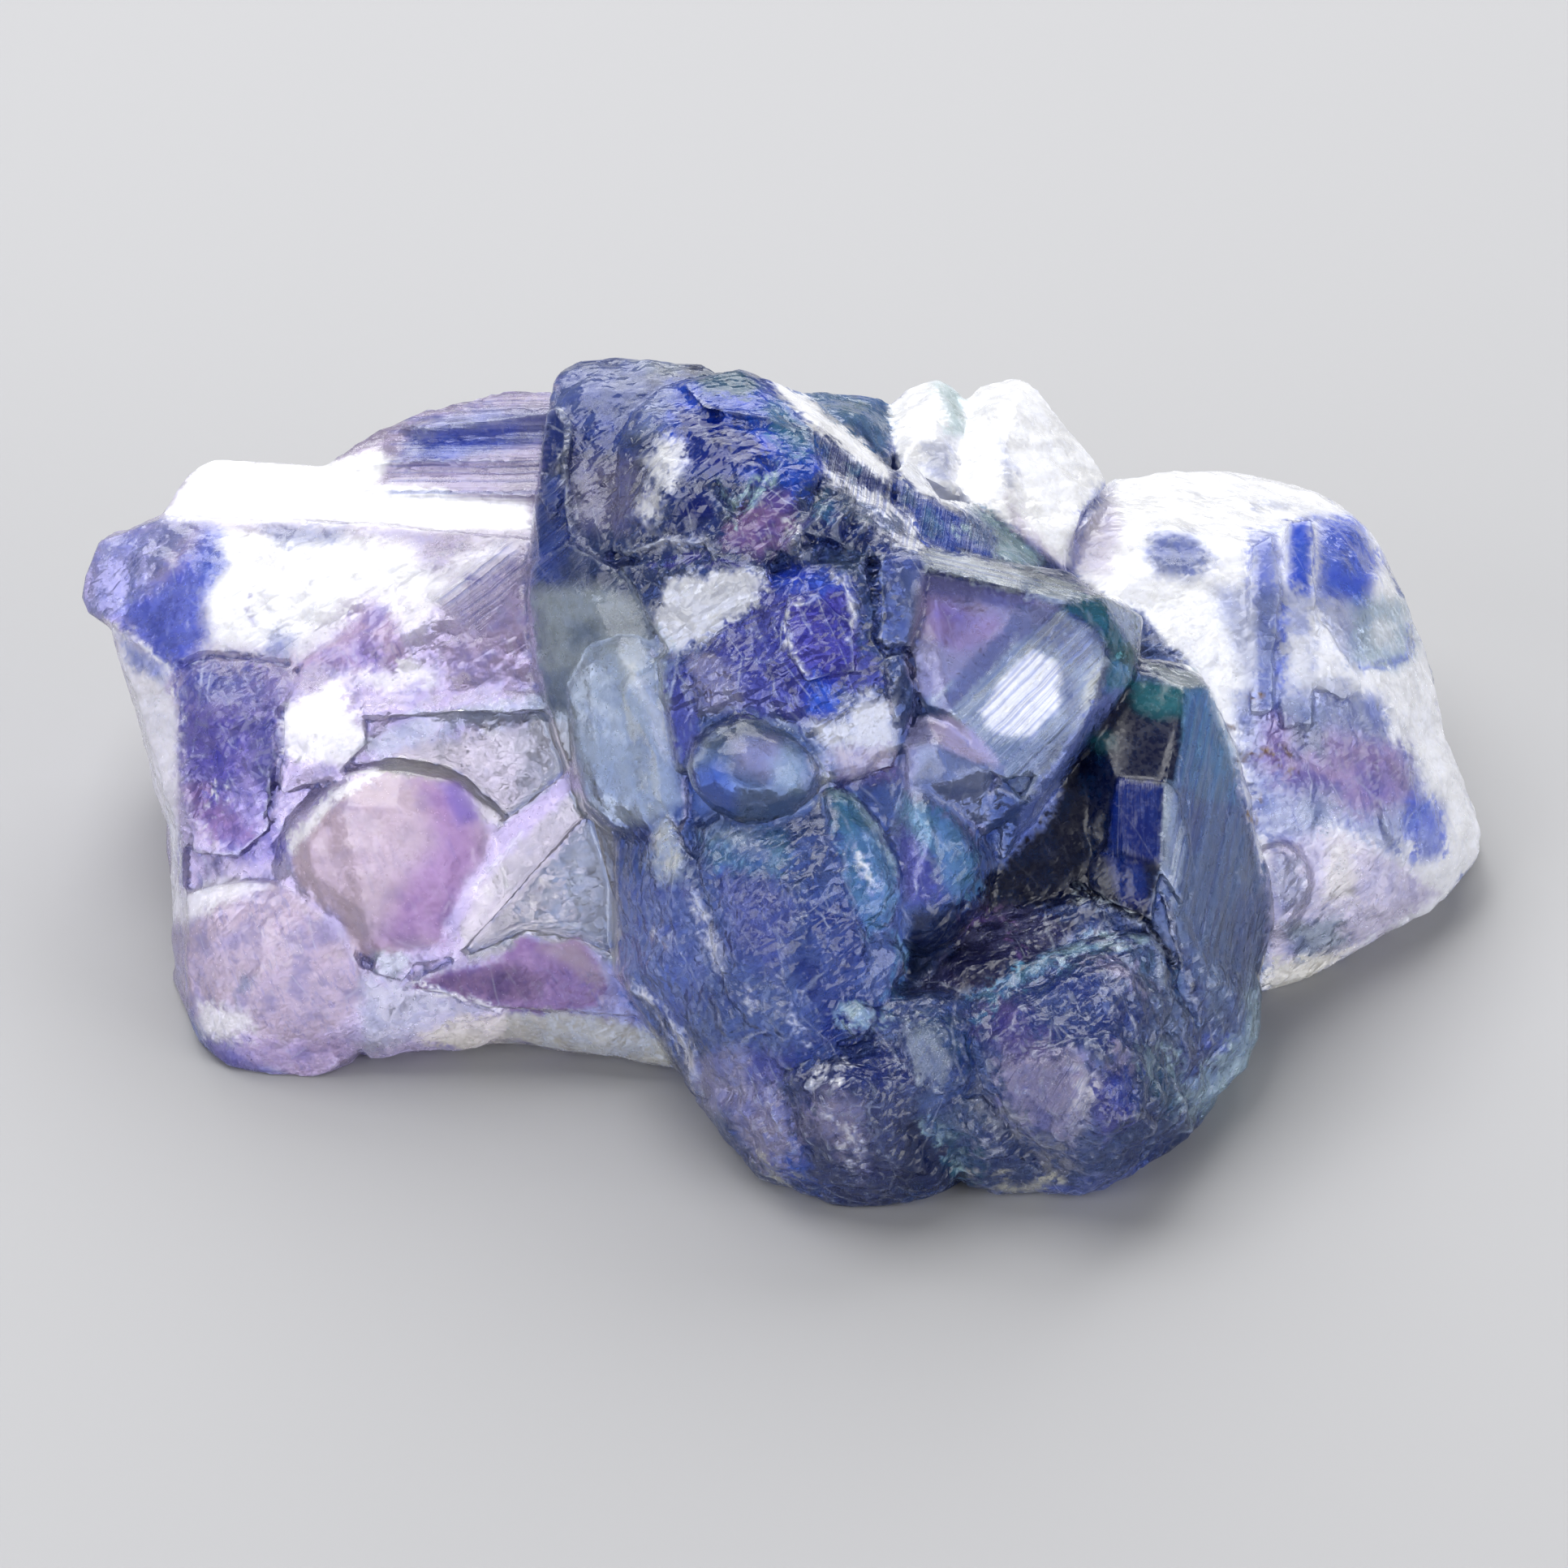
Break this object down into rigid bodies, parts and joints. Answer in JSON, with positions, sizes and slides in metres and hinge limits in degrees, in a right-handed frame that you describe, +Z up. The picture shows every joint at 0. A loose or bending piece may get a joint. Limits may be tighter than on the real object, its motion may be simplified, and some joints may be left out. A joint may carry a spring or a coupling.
{
  "type": "fluorite crystal cluster",
  "caption": "Hand specimen of intergrown see-through blue, violet and white fluorite crystals with stepped ledges, resting on a flat base.",
  "frame": {"origin": "centre of the bounding box's bottom face, on the ground under the stone", "axes": "+X along the stone's longest side, to the right as pictured; +Y to its back; +Z up from its flat base"},
  "size_m": [0.0604, 0.0446, 0.0273],
  "materials": {
    "fluorite": "see-through natural mineral, glassy faces, zoned from white and lavender to deep blue-violet and teal"
  },
  "bodies": {
    "root": {"fluorite_cluster": "fluorite"}
  },
  "joints": []
}
